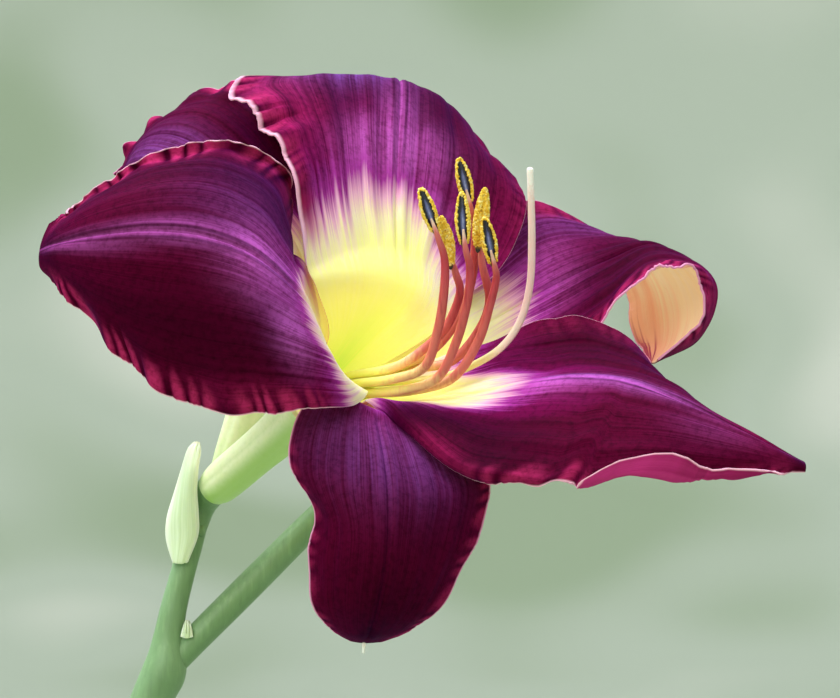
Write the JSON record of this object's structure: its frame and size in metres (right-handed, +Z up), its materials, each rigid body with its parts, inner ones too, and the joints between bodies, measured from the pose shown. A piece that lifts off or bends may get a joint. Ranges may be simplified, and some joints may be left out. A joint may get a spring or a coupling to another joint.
{
  "type": "daylily flower in vase",
  "caption": "Wide-open ruffled daylily bloom with stamens on a leaning, forked scape with closed buds, standing in a slim-necked bottle vase of water.",
  "frame": {"origin": "centre of the vase's foot, on the surface that it stands on", "axes": "+Z up the vase's axis, +X toward the side that the scape leans to, -Y toward the side that the bloom opens to"},
  "size_m": [0.1586, 0.0948, 0.3096],
  "materials": {
    "petal": "satin, with fine velvety ribs",
    "sepal": "satin, with fine velvety ribs",
    "tube": "smooth and faintly waxy",
    "stem": "smooth with a waxy bloom",
    "bract": "thin, matt and finely veined",
    "filament": "smooth",
    "anther": "powdery with pollen",
    "style": "smooth",
    "vase_glaze": "glossy glaze over an unglazed foot",
    "water": "clear"
  },
  "bodies": {
    "root": {"petal_left": "petal", "petal_top": "petal", "petal_right": "petal", "sepal_left": "sepal", "sepal_right": "sepal", "sepal_bottom": "sepal", "flower_tube": "tube", "style": "style", "filament_1": "filament", "filament_2": "filament", "filament_3": "filament", "filament_4": "filament", "filament_5": "filament", "filament_6": "filament", "anther_1": "anther", "anther_2": "anther", "anther_3": "anther", "anther_4": "anther", "anther_5": "anther", "anther_6": "anther", "scape": "stem", "bract": "bract", "fork_scale": "bract", "side_bud": "tube", "branch_bud": "tube", "vase": "vase_glaze", "water": "water"}
  },
  "joints": []
}
